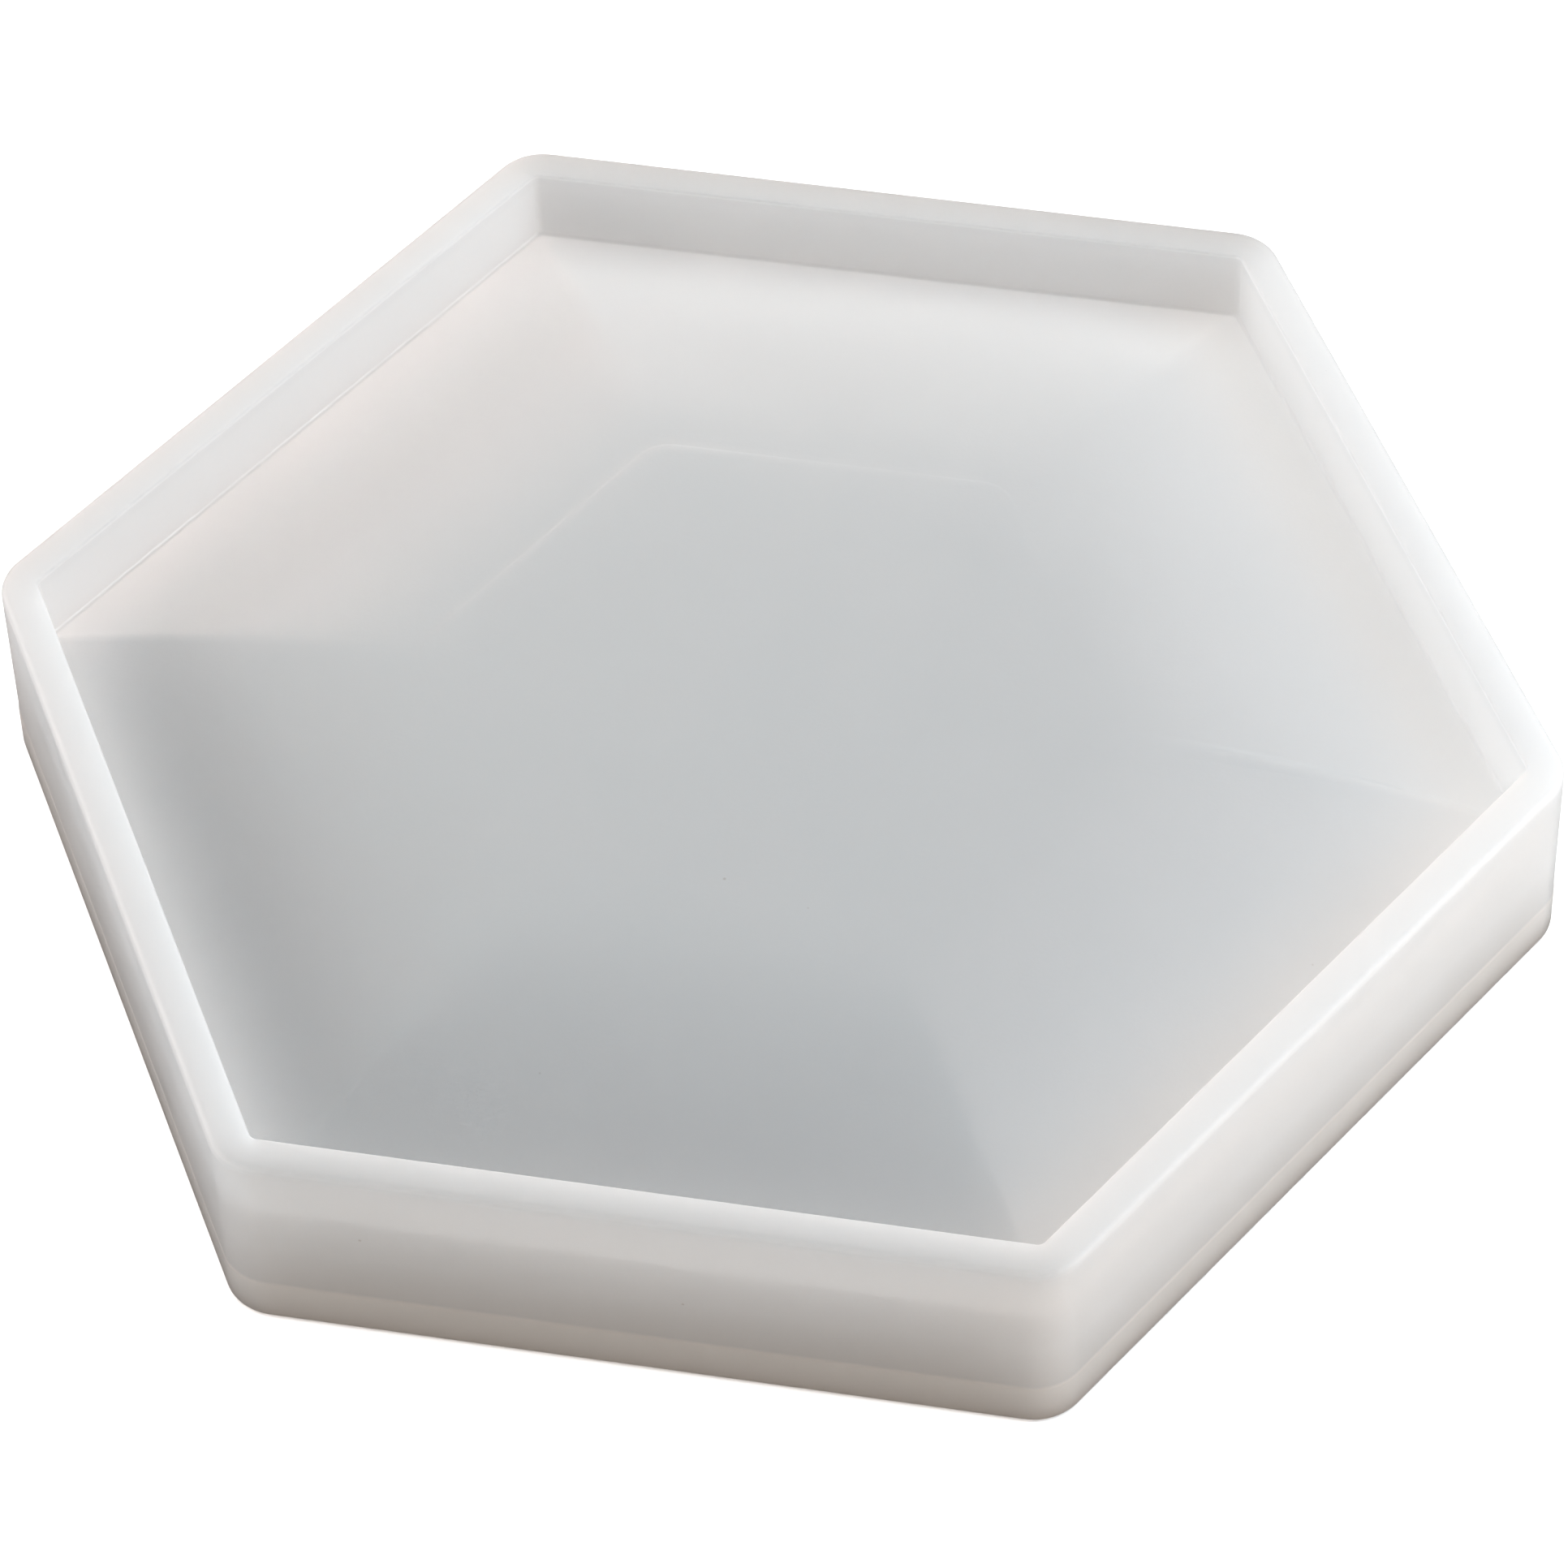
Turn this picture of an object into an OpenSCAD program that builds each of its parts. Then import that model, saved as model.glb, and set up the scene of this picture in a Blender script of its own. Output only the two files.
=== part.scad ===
// Hexagonal open-top casting mould in silicone, made as one moulding.
// +Z is up, the origin is the centre of the flat base, and two of the six sides face -Y and +Y.

/* [Block] */
// Width of the mould across its outer flats
across_flats = 120; // [96:1:180]
// Height from the flat base to the rim
height = 20; // [16:0.5:32]
// Radius of the six outer upright corners
outer_corner_r = 4.8; // [1:0.2:9]

/* [Cavity] */
// Thickness of the upright wall, which is the width of the flat rim
wall = 3.4; // [2:0.1:5]
// Depth of the cavity below the rim, where its floor meets the wall
edge_depth = 7.6; // [5:0.2:10]
// Radius of the six inner upright corners
inner_corner_r = 0.8; // [0.3:0.1:3]

/* [Raised floor] */
// Width across flats of the level plateau in the middle of the floor
plateau_flats = 54.5; // [30:0.5:62]
// Depth of the plateau below the rim
plateau_depth = 2.3; // [1:0.1:4]
// Radius to which each of the six sloping facets is crowned
crown_r = 110; // [90:5:400]

/* [Hidden] */
// Short flats in each rounded upright corner, and the fineness of the shallow crowned facets
corner_steps = 10;
crown_fn = 720;
// How far a cutting shape runs past the surface that it cuts
clear = 1;

sides = 6;
half_angle = 180 / sides;
outer_apothem = across_flats / 2;
inner_apothem = outer_apothem - wall;
plateau_apothem = plateau_flats / 2;
plateau_z = height - plateau_depth;
edge_z = height - edge_depth;

// The crown's arc runs from the plateau's edge down to the foot of the wall.
facet_run = inner_apothem - plateau_apothem;
facet_drop = plateau_z - edge_z;
chord = sqrt(facet_run * facet_run + facet_drop * facet_drop);
chord_slope = atan(facet_drop / facet_run);
// Distance from the middle of the chord to the arc's centre, which lies below the facet
sag_leg = sqrt(crown_r * crown_r - chord * chord / 4);
crown_x = (plateau_apothem + inner_apothem) / 2 - sag_leg * sin(chord_slope);
crown_z = (plateau_z + edge_z) / 2 - sag_leg * cos(chord_slope);

// Unit vector at an angle from +X
function along(angle) = [cos(angle), sin(angle)];

// Upright hexagonal prism with flats facing -Y and +Y and rounded corners, each an arc of
// corner_steps short flats
module rounded_prism(apothem, radius, tall) {
    arc_at = (apothem - radius) / cos(half_angle);
    linear_extrude(tall)
        polygon([for (i = [0:sides - 1], step = [0:corner_steps])
            arc_at * along(2 * half_angle * i)
                + radius * along(2 * half_angle * (i + step / corner_steps) - half_angle)]);
}

// Cross-section of the raised floor between two opposite walls: level over the plateau, then
// falling along an arc on each side
module floor_section() {
    reach = inner_apothem + wall / 2;
    translate([-plateau_apothem, clear])
        square([2 * plateau_apothem, plateau_z - clear]);
    for (side = [0, 1])
        mirror([side, 0])
            intersection() {
                translate([plateau_apothem - clear, clear])
                    square([reach - plateau_apothem + clear, plateau_z - clear]);
                translate([crown_x, crown_z])
                    circle(r = crown_r, $fn = crown_fn);
            }
}

// The raised floor: three such sections crossed, which leaves a plateau and six mitred facets
module raised_floor() {
    span = 2 * across_flats;
    intersection_for (i = [0:2])
        rotate([0, 0, 2 * half_angle * i])
            rotate([90, 0, 90])
                translate([0, 0, -span / 2])
                    linear_extrude(span)
                        floor_section();
}

// The space that the resin fills
module cavity() {
    difference() {
        translate([0, 0, edge_z - clear])
            rounded_prism(inner_apothem, inner_corner_r, edge_depth + 2 * clear);
        raised_floor();
    }
}

// The whole mould: a solid block with the cavity sunk into its top
module mould_body() {
    color([0.90, 0.90, 0.89])
        difference() {
            rounded_prism(outer_apothem, outer_corner_r, height);
            cavity();
        }
}

mould_body();
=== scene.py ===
"""Looks of the hexagonal silicone casting mould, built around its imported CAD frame.

One piece is modelled: the silicone moulding. Its surface is a stack of closed rings, each a hexagon
with rounded corners, that run from the middle of the base, up the outside, over the rim, down into
the cavity and in over the raised floor. Lengths are metres, and mm() turns millimetres into them.
"""
import math

import bpy
from mathutils import Matrix, Vector


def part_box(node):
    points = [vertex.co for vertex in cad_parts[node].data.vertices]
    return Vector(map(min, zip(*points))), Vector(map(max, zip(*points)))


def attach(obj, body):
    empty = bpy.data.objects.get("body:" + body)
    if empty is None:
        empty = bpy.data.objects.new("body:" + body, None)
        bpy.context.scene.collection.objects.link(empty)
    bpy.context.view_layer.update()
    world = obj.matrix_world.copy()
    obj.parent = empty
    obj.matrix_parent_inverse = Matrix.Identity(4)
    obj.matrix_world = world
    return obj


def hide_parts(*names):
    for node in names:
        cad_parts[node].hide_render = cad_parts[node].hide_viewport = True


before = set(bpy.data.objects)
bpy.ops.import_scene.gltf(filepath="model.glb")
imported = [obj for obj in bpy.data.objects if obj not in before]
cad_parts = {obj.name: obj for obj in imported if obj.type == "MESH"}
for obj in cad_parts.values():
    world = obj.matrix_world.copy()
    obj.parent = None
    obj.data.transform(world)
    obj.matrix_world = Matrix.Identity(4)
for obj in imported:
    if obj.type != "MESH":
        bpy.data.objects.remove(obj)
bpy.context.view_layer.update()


def mm(length):
    return length / 1000


# ---- Sizes that the frame fixes -----------------------------------------------------------------

low, high = (Vector(corner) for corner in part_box("mould_body"))
SIDES = 6
HALF_ANGLE = math.pi / SIDES
HEIGHT = high.z - low.z
OUTER = (high.y - low.y) / 2                  # from the axis to an outer flat
CORNER_REACH = (high.x - low.x) / 2           # from the axis to the tip of a rounded corner
CORNER_R = (OUTER / math.cos(HALF_ANGLE) - CORNER_REACH) / (1 / math.cos(HALF_ANGLE) - 1)

# ---- Sizes of the cavity, the same as the CAD part's --------------------------------------------

WALL = mm(3.4)
EDGE_DEPTH = mm(7.6)
INNER_CORNER_R = mm(0.8)
PLATEAU = mm(54.5) / 2
PLATEAU_DEPTH = mm(2.3)
CROWN_R = mm(110)
INNER = OUTER - WALL
PLATEAU_Z = HEIGHT - PLATEAU_DEPTH
EDGE_Z = HEIGHT - EDGE_DEPTH

# ---- Small rounds and moulding marks ------------------------------------------------------------

BASE_ROUND = mm(0.6)
RIM_OUTER_ROUND = mm(0.75)
RIM_INNER_ROUND = mm(0.18)
FOOT_ROUND = mm(0.3)           # the fillet where the cavity's wall meets its floor
FOOT_BAND = mm(4.9)            # height of the lower band, up to the parting line
PARTING_STEP = mm(0.06)        # how far the walls above the parting line stand in
PARTING_RUN = mm(0.5)          # height over which they step in
MITRE_R = mm(3.5)              # softness of the mitres between the floor's facets, at the plateau
MITRE_BEADS = (0.15, 0.02, 0, 0.02, 0.02, 0.02)   # mm, height of the bead on each mitre, from +X round
BEAD_REACH = mm(0.7)           # from the crest of a bead to its steep edge, towards the back
BEAD_TAIL = mm(1.8)            # from the crest to its gentle edge, towards the front
CREASE_SOFT = mm(3.5)          # half the width over which the plateau turns into the facets
CREASE_STEP = mm(0.06)         # height of the fine step round the plateau, on its back left sides only
CREASE_RUN = mm(0.35)          # width over which it steps
CREASE_FADE = mm(6)            # width over which the facets outside it come back to their own height
BACK_LEFT = math.radians(120)  # the side of the fine step, turned from +X

# ---- Fineness of the mesh -----------------------------------------------------------------------

ARC_STEPS = 12                 # steps round each corner
STRAIGHT_STEPS = 24            # steps along each straight side
ROUND_STEPS = 6                # steps across each small edge round
HOLD = mm(0.12)                # spacing of the rings that keep a flat face flat beside a round
INNERMOST = mm(1.5)            # size of the smallest ring, round the middle of the base and the floor
INNERMOST_R = mm(0.5)          # its corner radius, on the base
BASE_STEPS = 10                # rings across the flat underside
WALL_STEPS = 9                 # rings up the outer wall, above the parting line
FACET_STEPS = 34               # rings across the floor's facets
PLATEAU_STEPS = 26             # rings across the plateau
PLATEAU_ROUNDNESS = 0.6        # corner radius of the plateau's small rings, as a share of their size


def ring_points(apothem, corner_r, height, bead=0.0, step_down=0.0):
    """The points of one ring, counter-clockwise, with arcs at the corners.

    The middle of each arc is raised by its mitre's bead, times bead. The back left of the ring is
    lowered by up to step_down.
    """
    arc_at = (apothem - corner_r) / math.cos(HALF_ANGLE)
    points = []
    for side in range(SIDES):
        middle = 2 * HALF_ANGLE * side
        centre = Vector((math.cos(middle), math.sin(middle))) * arc_at
        for step in range(ARC_STEPS + 1):
            turn = HALF_ANGLE * (2 * step / ARC_STEPS - 1)
            angle = middle + turn
            spot = centre + Vector((math.cos(angle), math.sin(angle))) * corner_r
            reach = BEAD_REACH if turn * math.cos(middle) > 0 else BEAD_TAIL
            off_bead = min(abs(turn) * corner_r / reach, 1)
            rise = mm(MITRE_BEADS[side]) * bead * (1 + math.cos(math.pi * off_bead)) / 2
            points.append(Vector((spot.x, spot.y, height + rise)))
        start = points[-1]
        turned = middle + 2 * HALF_ANGLE
        next_centre = Vector((math.cos(turned), math.sin(turned))) * arc_at
        first_angle = turned - HALF_ANGLE
        spot = next_centre + Vector((math.cos(first_angle), math.sin(first_angle))) * corner_r
        end = Vector((spot.x, spot.y, height))
        for step in range(1, STRAIGHT_STEPS):
            points.append(start.lerp(end, step / STRAIGHT_STEPS))
    for point in points:
        facing = math.cos(math.atan2(point.y, point.x) - BACK_LEFT)
        point.z -= step_down * max(facing, 0)
    return points


def spread(start, end, count):
    """count + 1 even values from start to end."""
    return [start + (end - start) * i / count for i in range(count + 1)]


def floor_height(apothem):
    """Height of the raised floor at a distance from the axis, measured square to the nearest side."""
    if apothem <= PLATEAU:
        return PLATEAU_Z
    run = INNER - PLATEAU
    drop = PLATEAU_Z - EDGE_Z
    slope = math.atan2(drop, run)
    leg = math.sqrt(CROWN_R ** 2 - (run ** 2 + drop ** 2) / 4)
    centre_x = (PLATEAU + INNER) / 2 - leg * math.sin(slope)
    centre_z = (PLATEAU_Z + EDGE_Z) / 2 - leg * math.cos(slope)
    return centre_z + math.sqrt(CROWN_R ** 2 - (apothem - centre_x) ** 2)


def soft_floor_height(apothem):
    """The floor's height with the plateau's edge eased over a short run, as moulded silicone shows it."""
    start, end = PLATEAU - CREASE_SOFT, PLATEAU + CREASE_SOFT
    if apothem <= start or apothem >= end:
        return floor_height(apothem)
    t = (apothem - start) / (end - start)
    end_slope = (floor_height(end + mm(0.1)) - floor_height(end)) / mm(0.1) * (end - start)
    fall = floor_height(end) - PLATEAU_Z
    return PLATEAU_Z + fall * (3 * t ** 2 - 2 * t ** 3) + end_slope * (t ** 3 - t ** 2)


def base_rings():
    """Flat underside and its rounded edge."""
    rings = []
    edge = OUTER - BASE_ROUND
    for apothem in spread(INNERMOST, edge - HOLD, BASE_STEPS) + [edge]:
        rings.append((apothem, max(CORNER_R - (OUTER - apothem), INNERMOST_R), 0.0))
    for step in range(1, ROUND_STEPS + 1):
        angle = math.pi / 2 * (step / ROUND_STEPS - 1)
        apothem = edge + BASE_ROUND * math.cos(angle)
        height = BASE_ROUND + BASE_ROUND * math.sin(angle)
        rings.append((apothem, CORNER_R - (OUTER - apothem), height))
    return rings


def outside_rings():
    """Outer wall: the lower band, the small ledge of the parting line, and the wall above it."""
    upper = OUTER - PARTING_STEP
    rings = []
    for height in [BASE_ROUND + HOLD] + spread(2 * BASE_ROUND, FOOT_BAND - PARTING_RUN - HOLD, 4):
        rings.append((OUTER, CORNER_R, height))
    for step in range(ROUND_STEPS + 1):
        turn = math.pi * step / ROUND_STEPS
        inset = PARTING_STEP * (1 - math.cos(turn)) / 2
        height = FOOT_BAND - PARTING_RUN + PARTING_RUN * step / ROUND_STEPS
        rings.append((OUTER - inset, CORNER_R - inset, height))
    top = HEIGHT - RIM_OUTER_ROUND
    for height in [FOOT_BAND + HOLD] + spread(FOOT_BAND + mm(0.8), top - HOLD, WALL_STEPS) + [top]:
        rings.append((upper, CORNER_R - PARTING_STEP, height))
    return rings


def rim_rings():
    """Outer edge round, flat rim and inner edge round."""
    rings = []
    upper = OUTER - PARTING_STEP
    for step in range(1, ROUND_STEPS + 1):
        angle = math.pi / 2 * step / ROUND_STEPS
        apothem = upper - RIM_OUTER_ROUND * (1 - math.cos(angle))
        height = HEIGHT - RIM_OUTER_ROUND * (1 - math.sin(angle))
        rings.append((apothem, CORNER_R - (OUTER - apothem), height))
    outer_edge = upper - RIM_OUTER_ROUND
    inner_edge = INNER + RIM_INNER_ROUND
    across = spread(outer_edge - mm(0.6), inner_edge + mm(0.5), 3)
    for apothem in [outer_edge - HOLD] + across + [inner_edge + HOLD]:
        blend = (apothem - inner_edge) / (outer_edge - inner_edge)
        radius = INNER_CORNER_R + RIM_INNER_ROUND + blend * (CORNER_R - INNER_CORNER_R - mm(1.0))
        rings.append((apothem, radius, HEIGHT))
    for step in range(ROUND_STEPS + 1):
        angle = math.pi / 2 * step / ROUND_STEPS
        apothem = inner_edge - RIM_INNER_ROUND * math.sin(angle)
        height = HEIGHT - RIM_INNER_ROUND * (1 - math.cos(angle))
        rings.append((apothem, INNER_CORNER_R + apothem - INNER, height))
    return rings


def inside_rings():
    """Inner wall, and the fillet that turns it into the sloping floor."""
    slope = math.atan2(floor_height(INNER - mm(0.5)) - EDGE_Z, mm(0.5))
    turn = math.pi / 2 + slope
    reach = FOOT_ROUND * math.tan(turn / 2)
    top = HEIGHT - RIM_INNER_ROUND
    foot = EDGE_Z + reach
    rings = []
    for height in [top - HOLD] + spread(top - mm(0.7), foot + mm(0.5), 5) + [foot + HOLD]:
        rings.append((INNER, INNER_CORNER_R, height))
    for step in range(ROUND_STEPS + 3):
        angle = turn * step / (ROUND_STEPS + 2)
        apothem = INNER - FOOT_ROUND * (1 - math.cos(angle))
        height = foot - FOOT_ROUND * math.sin(angle)
        rings.append((apothem, INNER_CORNER_R, height))
    return rings


def floor_rings():
    """Crowned facets from the fillet in to the plateau's edge, the fine step there, and the plateau.

    The beads on the mitres rise soon after the fillet and fade out before the plateau.
    """
    rings = []
    start = INNER - mm(0.75)
    edge = PLATEAU + mm(0.3)
    for apothem in spread(start, edge, FACET_STEPS):
        blend = (start - apothem) / (start - PLATEAU)
        radius = INNER_CORNER_R + (MITRE_R - INNER_CORNER_R) * blend
        bead = max(min(blend * 6, (1 - blend) * 3, 1), 0)
        step_down = CREASE_STEP * max(1 - (apothem - edge) / CREASE_FADE, 0)
        rings.append((apothem, radius, soft_floor_height(apothem), bead, step_down))
    for share in (0.9, 0.5, 0.1):
        apothem = edge - CREASE_RUN * (1 - share)
        rings.append((apothem, MITRE_R, soft_floor_height(apothem), 0, CREASE_STEP * share))
    for apothem in spread(PLATEAU - 2 * CREASE_RUN, INNERMOST, PLATEAU_STEPS):
        radius = min(MITRE_R, apothem * PLATEAU_ROUNDNESS)
        rings.append((apothem, radius, soft_floor_height(apothem)))
    return rings


def build_mould():
    """Joins all the rings into one closed mesh."""
    rings = base_rings() + outside_rings() + rim_rings() + inside_rings() + floor_rings()
    vertices = []
    for ring in rings:
        vertices += [(p.x, p.y, low.z + p.z) for p in ring_points(*ring)]
    around = len(vertices) // len(rings)
    faces = []
    for layer in range(len(rings) - 1):
        for i in range(around):
            j = (i + 1) % around
            a = layer * around
            b = a + around
            faces.append((a + i, a + j, b + j, b + i))
    for first, height, inward in ((0, 0.0, 1), ((len(rings) - 1) * around, PLATEAU_Z, -1)):
        centre = len(vertices)
        vertices.append((0.0, 0.0, low.z + height))
        for i in range(around):
            pair = (first + (i + 1) % around, first + i)[::inward]
            faces.append((centre,) + pair)
    mesh = bpy.data.meshes.new("mould_silicone")
    mesh.from_pydata(vertices, [], faces)
    mesh.validate()
    mesh.shade_smooth()
    piece = bpy.data.objects.new("mould_silicone", mesh)
    bpy.context.scene.collection.objects.link(piece)
    return piece


# ---- Materials ----------------------------------------------------------------------------------

# Colours of the silicone
MILKY_DARK = (0.785, 0.785, 0.785)
MILKY_LIGHT = (0.81, 0.81, 0.81)
# partly the silicone's tint, partly painted shade: the band just over the parting line is darker
ABOVE_FOOT_TINT_AND_SHADE = (0.72, 0.715, 0.71)       # just over the parting line
# partly the silicone's warmer tint, partly painted warm light bounced up from below
FOOT_TINT_AND_WARM_BOUNCE = (0.95, 0.88, 0.83)              # the warmer lower band
# painted glow: the rim's top is lighter, for light that comes through both sides of the thin wall
RIM_PAINTED_GLOW = (0.99, 0.99, 0.985)
DUST = (0.66, 0.64, 0.62)

# Sizes of the silicone's texture; the scales are repeats in a metre
CLOUD_SCALE = 55
SMUDGE_SCALE = 90
WAVE_SCALE = 130
DUST_SCALE = 260
GRAIN_SCALE = 2600
DUST_SIZE = 0.045                      # share of the space between two specks
DUST_FEWNESS = 0.93                    # share of the places that hold no speck
GRAIN_DEPTH = mm(0.05)
WAVE_DEPTH = mm(0.6)
LIGHT_REACH = mm(25)                   # how far light goes in the silicone before it turns aside


class Nodes:
    """Short calls that add and join shader nodes of one material or world."""

    def __init__(self, tree):
        self.tree = tree
        tree.nodes.clear()

    def add(self, kind, **settings):
        node = self.tree.nodes.new(kind)
        for name, value in settings.items():
            setattr(node, name, value)
        return node

    def link(self, source, target):
        self.tree.links.new(source, target)

    def noise(self, coords, scale, detail=2.0, rough=0.5):
        node = self.add("ShaderNodeTexNoise")
        node.inputs["Scale"].default_value = scale
        node.inputs["Detail"].default_value = detail
        node.inputs["Roughness"].default_value = rough
        self.link(coords, node.inputs["Vector"])
        return node.outputs["Fac"]

    def remap(self, value, from_low, from_high, to_low, to_high):
        node = self.add("ShaderNodeMapRange", clamp=True)
        limits = (from_low, from_high, to_low, to_high)
        for name, limit in zip(("From Min", "From Max", "To Min", "To Max"), limits):
            node.inputs[name].default_value = limit
        self.link(value, node.inputs["Value"])
        return node.outputs["Result"]

    def mix(self, factor, first, second):
        """Mixes two colours; each colour is a socket or a plain (r, g, b)."""
        node = self.add("ShaderNodeMix", data_type="RGBA")
        self.link(factor, node.inputs["Factor"])
        for socket, colour in ((node.inputs[6], first), (node.inputs[7], second)):
            if isinstance(colour, tuple):
                socket.default_value = (*colour, 1)
            else:
                self.link(colour, socket)
        return node.outputs[2]

    def maths(self, operation, first, second):
        node = self.add("ShaderNodeMath", operation=operation)
        for socket, value in zip(node.inputs, (first, second)):
            if isinstance(value, (int, float)):
                socket.default_value = value
            else:
                self.link(value, socket)
        return node.outputs[0]


def specks(nodes, coords, scale, size):
    """1 on sparse small dots, 0 elsewhere."""
    cells = nodes.add("ShaderNodeTexVoronoi", feature="F1")
    cells.inputs["Scale"].default_value = scale
    nodes.link(coords, cells.inputs["Vector"])
    dot = nodes.remap(cells.outputs["Distance"], size * 0.5, size, 1, 0)
    chosen = nodes.add("ShaderNodeSeparateColor")
    nodes.link(cells.outputs["Color"], chosen.inputs["Color"])
    few = nodes.maths("GREATER_THAN", chosen.outputs["Red"], DUST_FEWNESS)
    return nodes.maths("MULTIPLY", dot, few)


def silicone():
    """Milky translucent silicone: light wanders far through it, under a satin moulded skin."""
    material = bpy.data.materials.new("milky_silicone")
    material.use_nodes = True
    nodes = Nodes(material.node_tree)
    coords = nodes.add("ShaderNodeTexCoord").outputs["Object"]
    height = nodes.add("ShaderNodeSeparateXYZ")
    nodes.link(coords, height.inputs["Vector"])

    cloud = nodes.noise(coords, CLOUD_SCALE, 3.0)
    colour = nodes.mix(cloud, MILKY_DARK, MILKY_LIGHT)
    # painted shade: a darker band over the parting line, partly the silicone's own tint
    above_foot_shade_mask = nodes.remap(height.outputs["Z"], FOOT_BAND, FOOT_BAND + mm(5), 1, 0)
    colour = nodes.mix(above_foot_shade_mask, colour, ABOVE_FOOT_TINT_AND_SHADE)
    # painted light: the lower band is warmer and lighter, partly its own tint and partly warm light
    # bounced from below
    foot = nodes.remap(height.outputs["Z"], FOOT_BAND - mm(0.5), FOOT_BAND, 1, 0)
    colour = nodes.mix(foot, colour, FOOT_TINT_AND_WARM_BOUNCE)
    # painted glow on the rim's top, for light that comes through both sides of the thin wall
    rim_glow_mask = nodes.remap(height.outputs["Z"], HEIGHT - mm(0.4), HEIGHT - mm(0.1), 0, 1)
    colour = nodes.mix(rim_glow_mask, colour, RIM_PAINTED_GLOW)
    dust = specks(nodes, coords, DUST_SCALE, DUST_SIZE)
    colour = nodes.mix(dust, colour, DUST)

    smudge = nodes.noise(coords, SMUDGE_SCALE, 4.0, 0.6)
    roughness = nodes.remap(smudge, 0.3, 0.7, 0.29, 0.40)
    roughness = nodes.maths("ADD", roughness, nodes.maths("MULTIPLY", dust, 0.25))
    rim_edge = nodes.remap(height.outputs["Z"], HEIGHT - mm(1.6), HEIGHT - mm(1.0), 0, 0.2)
    roughness = nodes.maths("ADD", roughness, rim_edge)

    grain = nodes.noise(coords, GRAIN_SCALE, 2.0)
    waviness = nodes.noise(coords, WAVE_SCALE, 2.0)
    fine = nodes.add("ShaderNodeBump")
    fine.inputs["Strength"].default_value = 0.12
    fine.inputs["Distance"].default_value = GRAIN_DEPTH
    nodes.link(grain, fine.inputs["Height"])
    broad = nodes.add("ShaderNodeBump")
    broad.inputs["Strength"].default_value = 0.025
    broad.inputs["Distance"].default_value = WAVE_DEPTH
    nodes.link(waviness, broad.inputs["Height"])
    nodes.link(fine.outputs["Normal"], broad.inputs["Normal"])

    shader = nodes.add("ShaderNodeBsdfPrincipled", subsurface_method="RANDOM_WALK")
    shader.inputs["Subsurface Weight"].default_value = 1.0
    shader.inputs["Subsurface Radius"].default_value = (1.0, 1.0, 1.0)
    shader.inputs["Subsurface Scale"].default_value = LIGHT_REACH
    shader.inputs["IOR"].default_value = 1.41
    shader.inputs["Specular IOR Level"].default_value = 0.75
    nodes.link(colour, shader.inputs["Base Color"])
    nodes.link(roughness, shader.inputs["Roughness"])
    nodes.link(broad.outputs["Normal"], shader.inputs["Normal"])
    output = nodes.add("ShaderNodeOutputMaterial")
    nodes.link(shader.outputs["BSDF"], output.inputs["Surface"])
    return material


def pale_floor():
    """Plain pale studio floor."""
    material = bpy.data.materials.new("pale_floor")
    material.use_nodes = True
    nodes = Nodes(material.node_tree)
    coords = nodes.add("ShaderNodeTexCoord").outputs["Object"]
    tone = nodes.mix(nodes.noise(coords, 6, 2.0), (0.93, 0.93, 0.93), (0.95, 0.95, 0.95))
    shader = nodes.add("ShaderNodeBsdfPrincipled")
    shader.inputs["Roughness"].default_value = 0.9
    nodes.link(tone, shader.inputs["Base Color"])
    output = nodes.add("ShaderNodeOutputMaterial")
    nodes.link(shader.outputs["BSDF"], output.inputs["Surface"])
    return material


# ---- Studio -------------------------------------------------------------------------------------

VIEW_AZIMUTH = math.radians(11.97)     # from the front, turned towards +X
VIEW_ELEVATION = math.radians(49.44)
VIEW_ROLL = math.radians(-1.91)
VIEW_DISTANCE = 9.861 * OUTER          # from the camera to the point aimed at
FOCAL_LENGTH = 159.8                   # mm on the 36 mm sensor
AIM = Vector((0.0559 * OUTER, -0.2018 * OUTER, high.z))
FLOOR_HALF = 3.0                       # half the width of the studio floor
FLOOR_GAP = mm(0.05)                   # between the mould's base and the studio floor
TABLE_SIDE = math.radians(40)          # where the table's glow is strongest, turned like VIEW_AZIMUTH
TABLE_GLOW = 0.93


def direction(azimuth, elevation):
    """Unit vector to a place round the mould; azimuth 0 is the front (-Y), 90 degrees is +X."""
    return Vector((
        math.sin(azimuth) * math.cos(elevation),
        -math.cos(azimuth) * math.cos(elevation),
        math.sin(elevation),
    ))


def add_camera():
    data = bpy.data.cameras.new("view")
    data.lens = FOCAL_LENGTH
    data.sensor_width = 36
    data.clip_start = 0.01
    camera = bpy.data.objects.new("view", data)
    bpy.context.scene.collection.objects.link(camera)
    away = direction(VIEW_AZIMUTH, VIEW_ELEVATION)
    facing = away.to_track_quat("Z", "Y").to_matrix().to_4x4()
    camera.matrix_world = (
        Matrix.Translation(AIM + away * VIEW_DISTANCE) @ facing @ Matrix.Rotation(VIEW_ROLL, 4, "Z")
    )
    bpy.context.scene.camera = camera


def soft_light(name, azimuth, elevation, power, colour, distance=0.42, size=0.22, passes_walls=False):
    """A square area light that faces the mould.

    Milky silicone sends much of the light that reaches a thin wall straight on. A light that
    passes the walls casts no shadow, so the cavity's floor stays bright close behind them.
    """
    data = bpy.data.lights.new(name, "AREA")
    data.shape = "SQUARE"
    data.size = size
    data.energy = power
    data.color = colour
    data.use_shadow = not passes_walls
    data.cycles.use_multiple_importance_sampling = not passes_walls
    light = bpy.data.objects.new(name, data)
    bpy.context.scene.collection.objects.link(light)
    away = direction(math.radians(azimuth), math.radians(elevation))
    light.location = away * distance
    light.rotation_euler = away.to_track_quat("Z", "Y").to_euler()
    light.visible_camera = False
    return light


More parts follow.
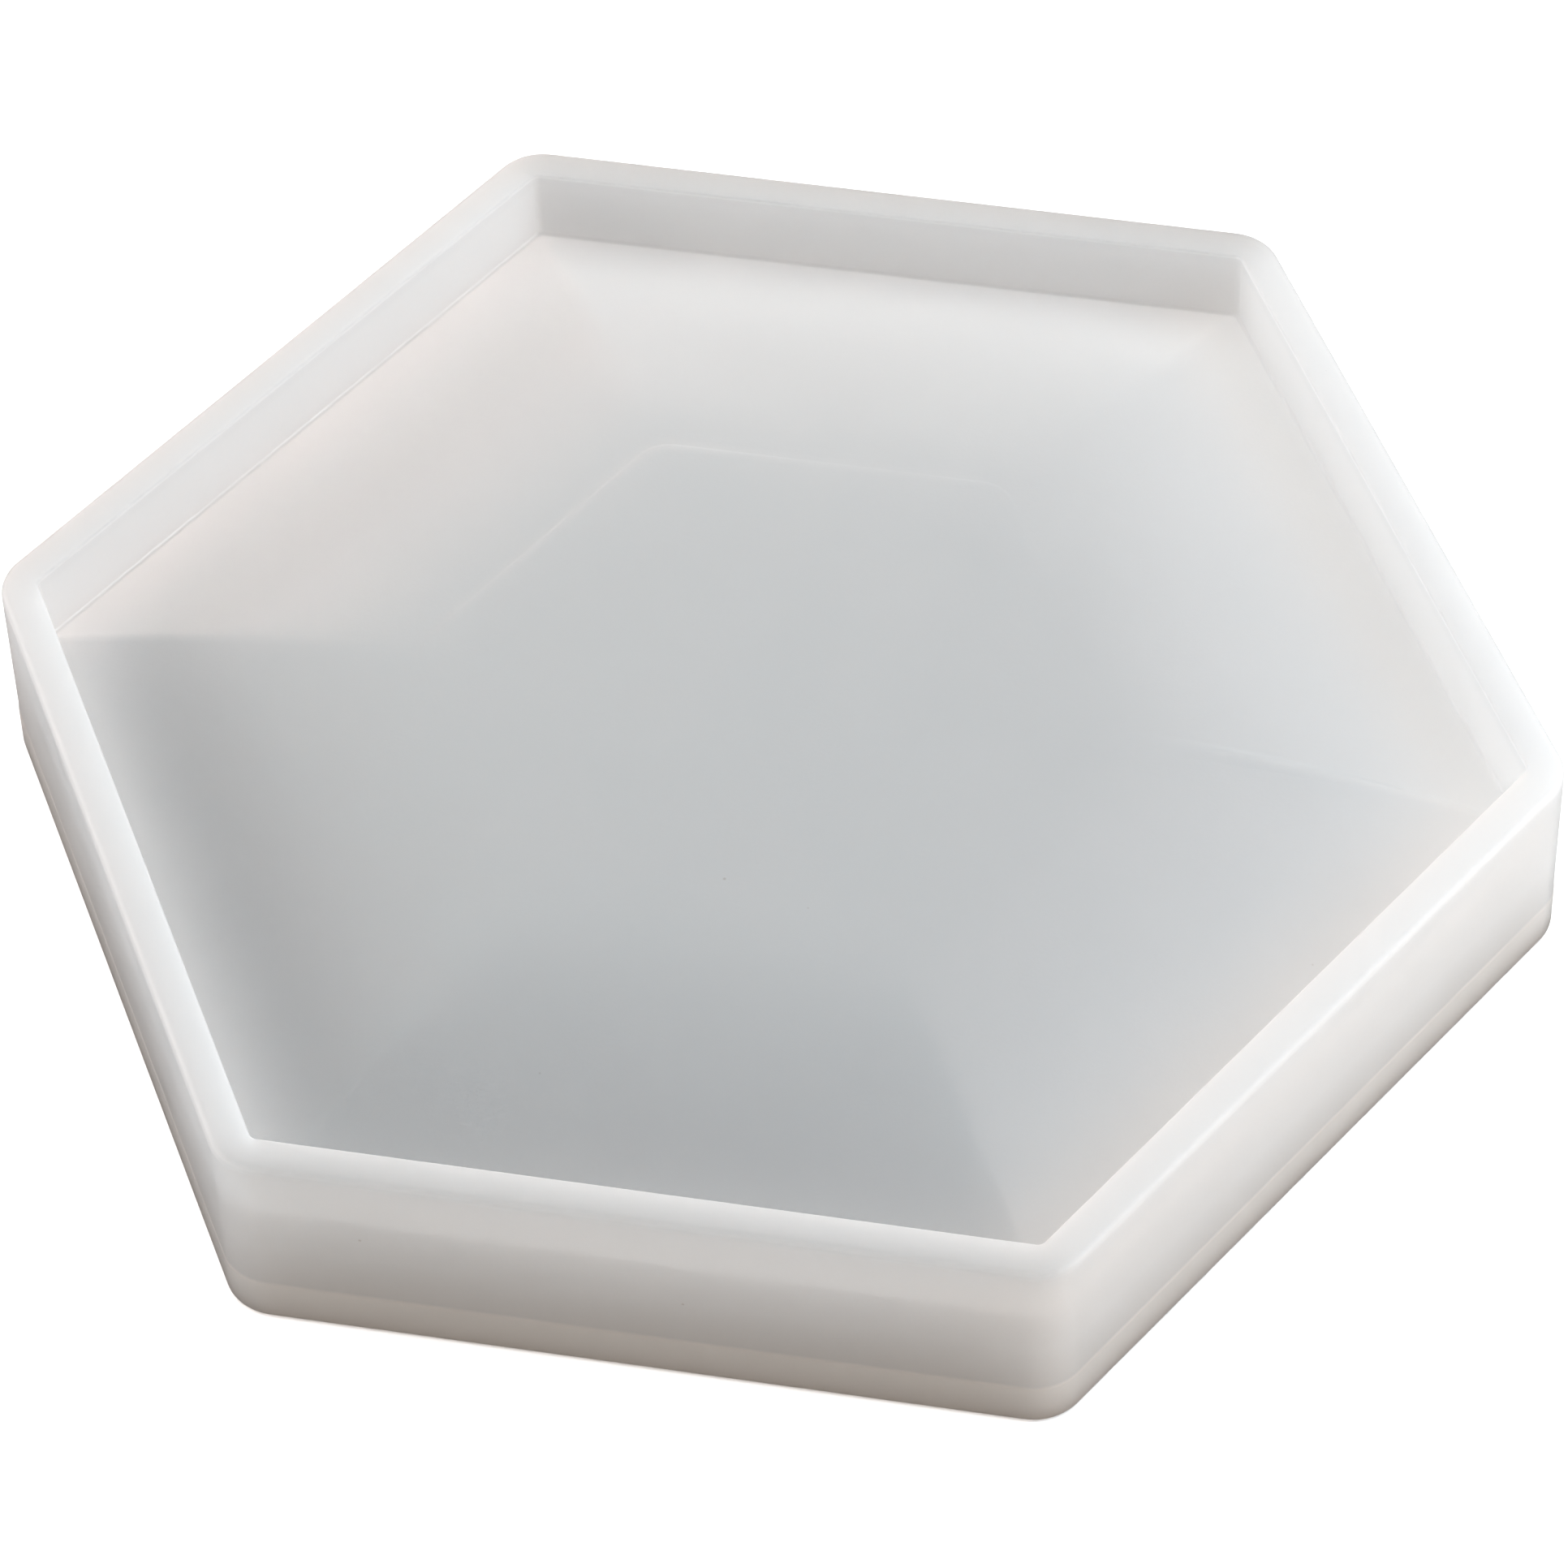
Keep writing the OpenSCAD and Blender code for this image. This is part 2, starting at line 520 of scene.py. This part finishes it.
def add_lights():
    """Windows and sky behind and to the right, a paler wall to the left, and a dim room in front."""
    soft_light("window_back", 180, 25, 0.31, (1.0, 1.0, 0.98), passes_walls=True)
    soft_light("window_back_left", 210, 25, 0.42, (1.0, 0.84, 0.75), passes_walls=True)
    soft_light("window_right", 90, 10, 1.13, (1.0, 0.97, 0.94), passes_walls=True)
    soft_light("key_back_right", 150, 52, 0.36, (1.0, 0.89, 0.84))
    soft_light("sky_back_left", 210, 52, 0.18, (0.66, 0.93, 1.0))
    soft_light("sky_right", 90, 35, 0.45, (0.5, 0.78, 1.0))
    soft_light("wall_left", 270, 15, 0.85, (1.0, 0.91, 0.87))
    soft_light("room_front_left", 315, 12, 3.7, (0.92, 0.98, 1.0), distance=1.2, size=0.5)


def add_world():
    """Dark surroundings, but for a warm glow from below the horizon, as from a table top."""
    world = bpy.data.worlds.new("studio")
    bpy.context.scene.world = world
    world.use_nodes = True
    nodes = Nodes(world.node_tree)
    ray = nodes.add("ShaderNodeTexCoord").outputs["Generated"]
    to_table = nodes.add("ShaderNodeVectorMath", operation="DOT_PRODUCT")
    nodes.link(ray, to_table.inputs[0])
    to_table.inputs[1].default_value = direction(TABLE_SIDE, 0)
    split = nodes.add("ShaderNodeSeparateXYZ")
    nodes.link(ray, split.inputs["Vector"])
    below = nodes.maths("LESS_THAN", split.outputs["Z"], 0.0)
    glow = nodes.maths("MULTIPLY", below, nodes.maths("MAXIMUM", to_table.outputs["Value"], 0.0))
    background = nodes.add("ShaderNodeBackground")
    background.inputs["Color"].default_value = (1.0, 0.84, 0.72, 1)
    nodes.link(nodes.maths("MULTIPLY", glow, TABLE_GLOW), background.inputs["Strength"])
    output = nodes.add("ShaderNodeOutputWorld")
    nodes.link(background.outputs["Background"], output.inputs["Surface"])


def add_floor():
    """A wide pale floor with a wash light of its own, which keeps it plain and takes no shadow."""
    mesh = bpy.data.meshes.new("studio_floor")
    half = FLOOR_HALF
    corners = [(-half, -half), (half, -half), (half, half), (-half, half)]
    mesh.from_pydata([(x, y, low.z - FLOOR_GAP) for x, y in corners], [], [(0, 1, 2, 3)])
    floor = bpy.data.objects.new("studio_floor", mesh)
    bpy.context.scene.collection.objects.link(floor)
    mesh.materials.append(pale_floor())
    for ray in ("visible_diffuse", "visible_glossy", "visible_transmission", "visible_shadow"):
        setattr(floor, ray, False)
    wash = soft_light("floor_wash", 0, 89, 70, (1.0, 1.0, 1.0), distance=2.0, size=2.5)
    only_floor = bpy.data.collections.new("lit_by_floor_wash")
    only_floor.objects.link(floor)
    wash.light_linking.receiver_collection = only_floor


# ---- Scene --------------------------------------------------------------------------------------

add_camera()
mould = build_mould()
mould.data.materials.append(silicone())
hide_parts("mould_body")
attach(mould, "root")
add_floor()
add_world()
add_lights()
bpy.context.scene.view_settings.view_transform = "Standard"
